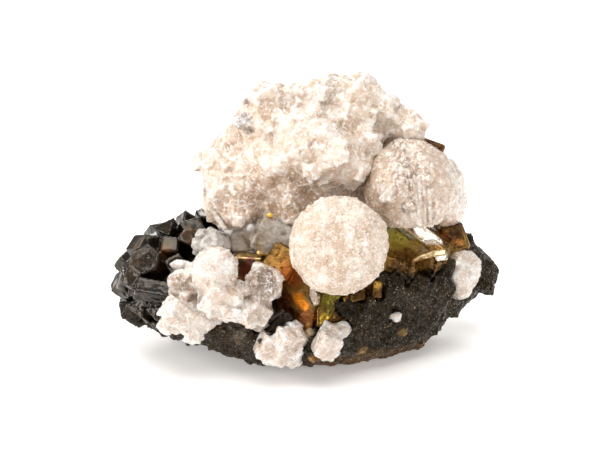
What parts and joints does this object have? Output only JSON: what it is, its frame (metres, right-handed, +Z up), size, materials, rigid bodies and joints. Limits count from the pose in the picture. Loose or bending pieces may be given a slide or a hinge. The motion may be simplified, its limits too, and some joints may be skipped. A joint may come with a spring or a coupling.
{
  "type": "calcite with pyrite mineral specimen",
  "caption": "Natural mineral specimen for display: sugary white calcite and round calcite buttons with tarnished golden pyrite on a dark sphalerite matrix.",
  "frame": {"origin": "middle of the specimen's bounding box, on the surface that it rests on", "axes": "+Z up; +X towards the viewer's right, along the specimen's length; -Y towards the viewer, the side with the front button"},
  "size_m": [0.082, 0.049, 0.0598],
  "materials": {
    "calcite": "sugary, translucent cream-white crystal",
    "clear_calcite": "clear to smoky crystal, glassy",
    "pyrite": "tarnished gold, amber and olive metallic faces",
    "sphalerite": "lustrous black crystal",
    "rock": "granular dark rock with a rusty lower edge"
  },
  "bodies": {
    "root": {"calcite_disc_front": "calcite", "calcite_disc_right": "calcite", "calcite_disc_small_right": "calcite", "calcite_cluster_left": "calcite", "calcite_ball_grey": "clear_calcite", "calcite_crystal_low_left": "calcite", "calcite_crystal_low_middle": "calcite", "calcite_grain_left": "calcite", "calcite_grain_right": "calcite", "calcite_cluster_back": "calcite", "calcite_clear_blocks": "clear_calcite", "calcite_mass": "calcite", "pyrite_right": "pyrite", "pyrite_front": "pyrite", "pyrite_left": "pyrite", "pyrite_chips": "pyrite", "pyrite_top": "pyrite", "pyrite_back": "pyrite", "sphalerite_front": "sphalerite", "sphalerite_crest": "sphalerite", "matrix": "rock"}
  },
  "joints": []
}
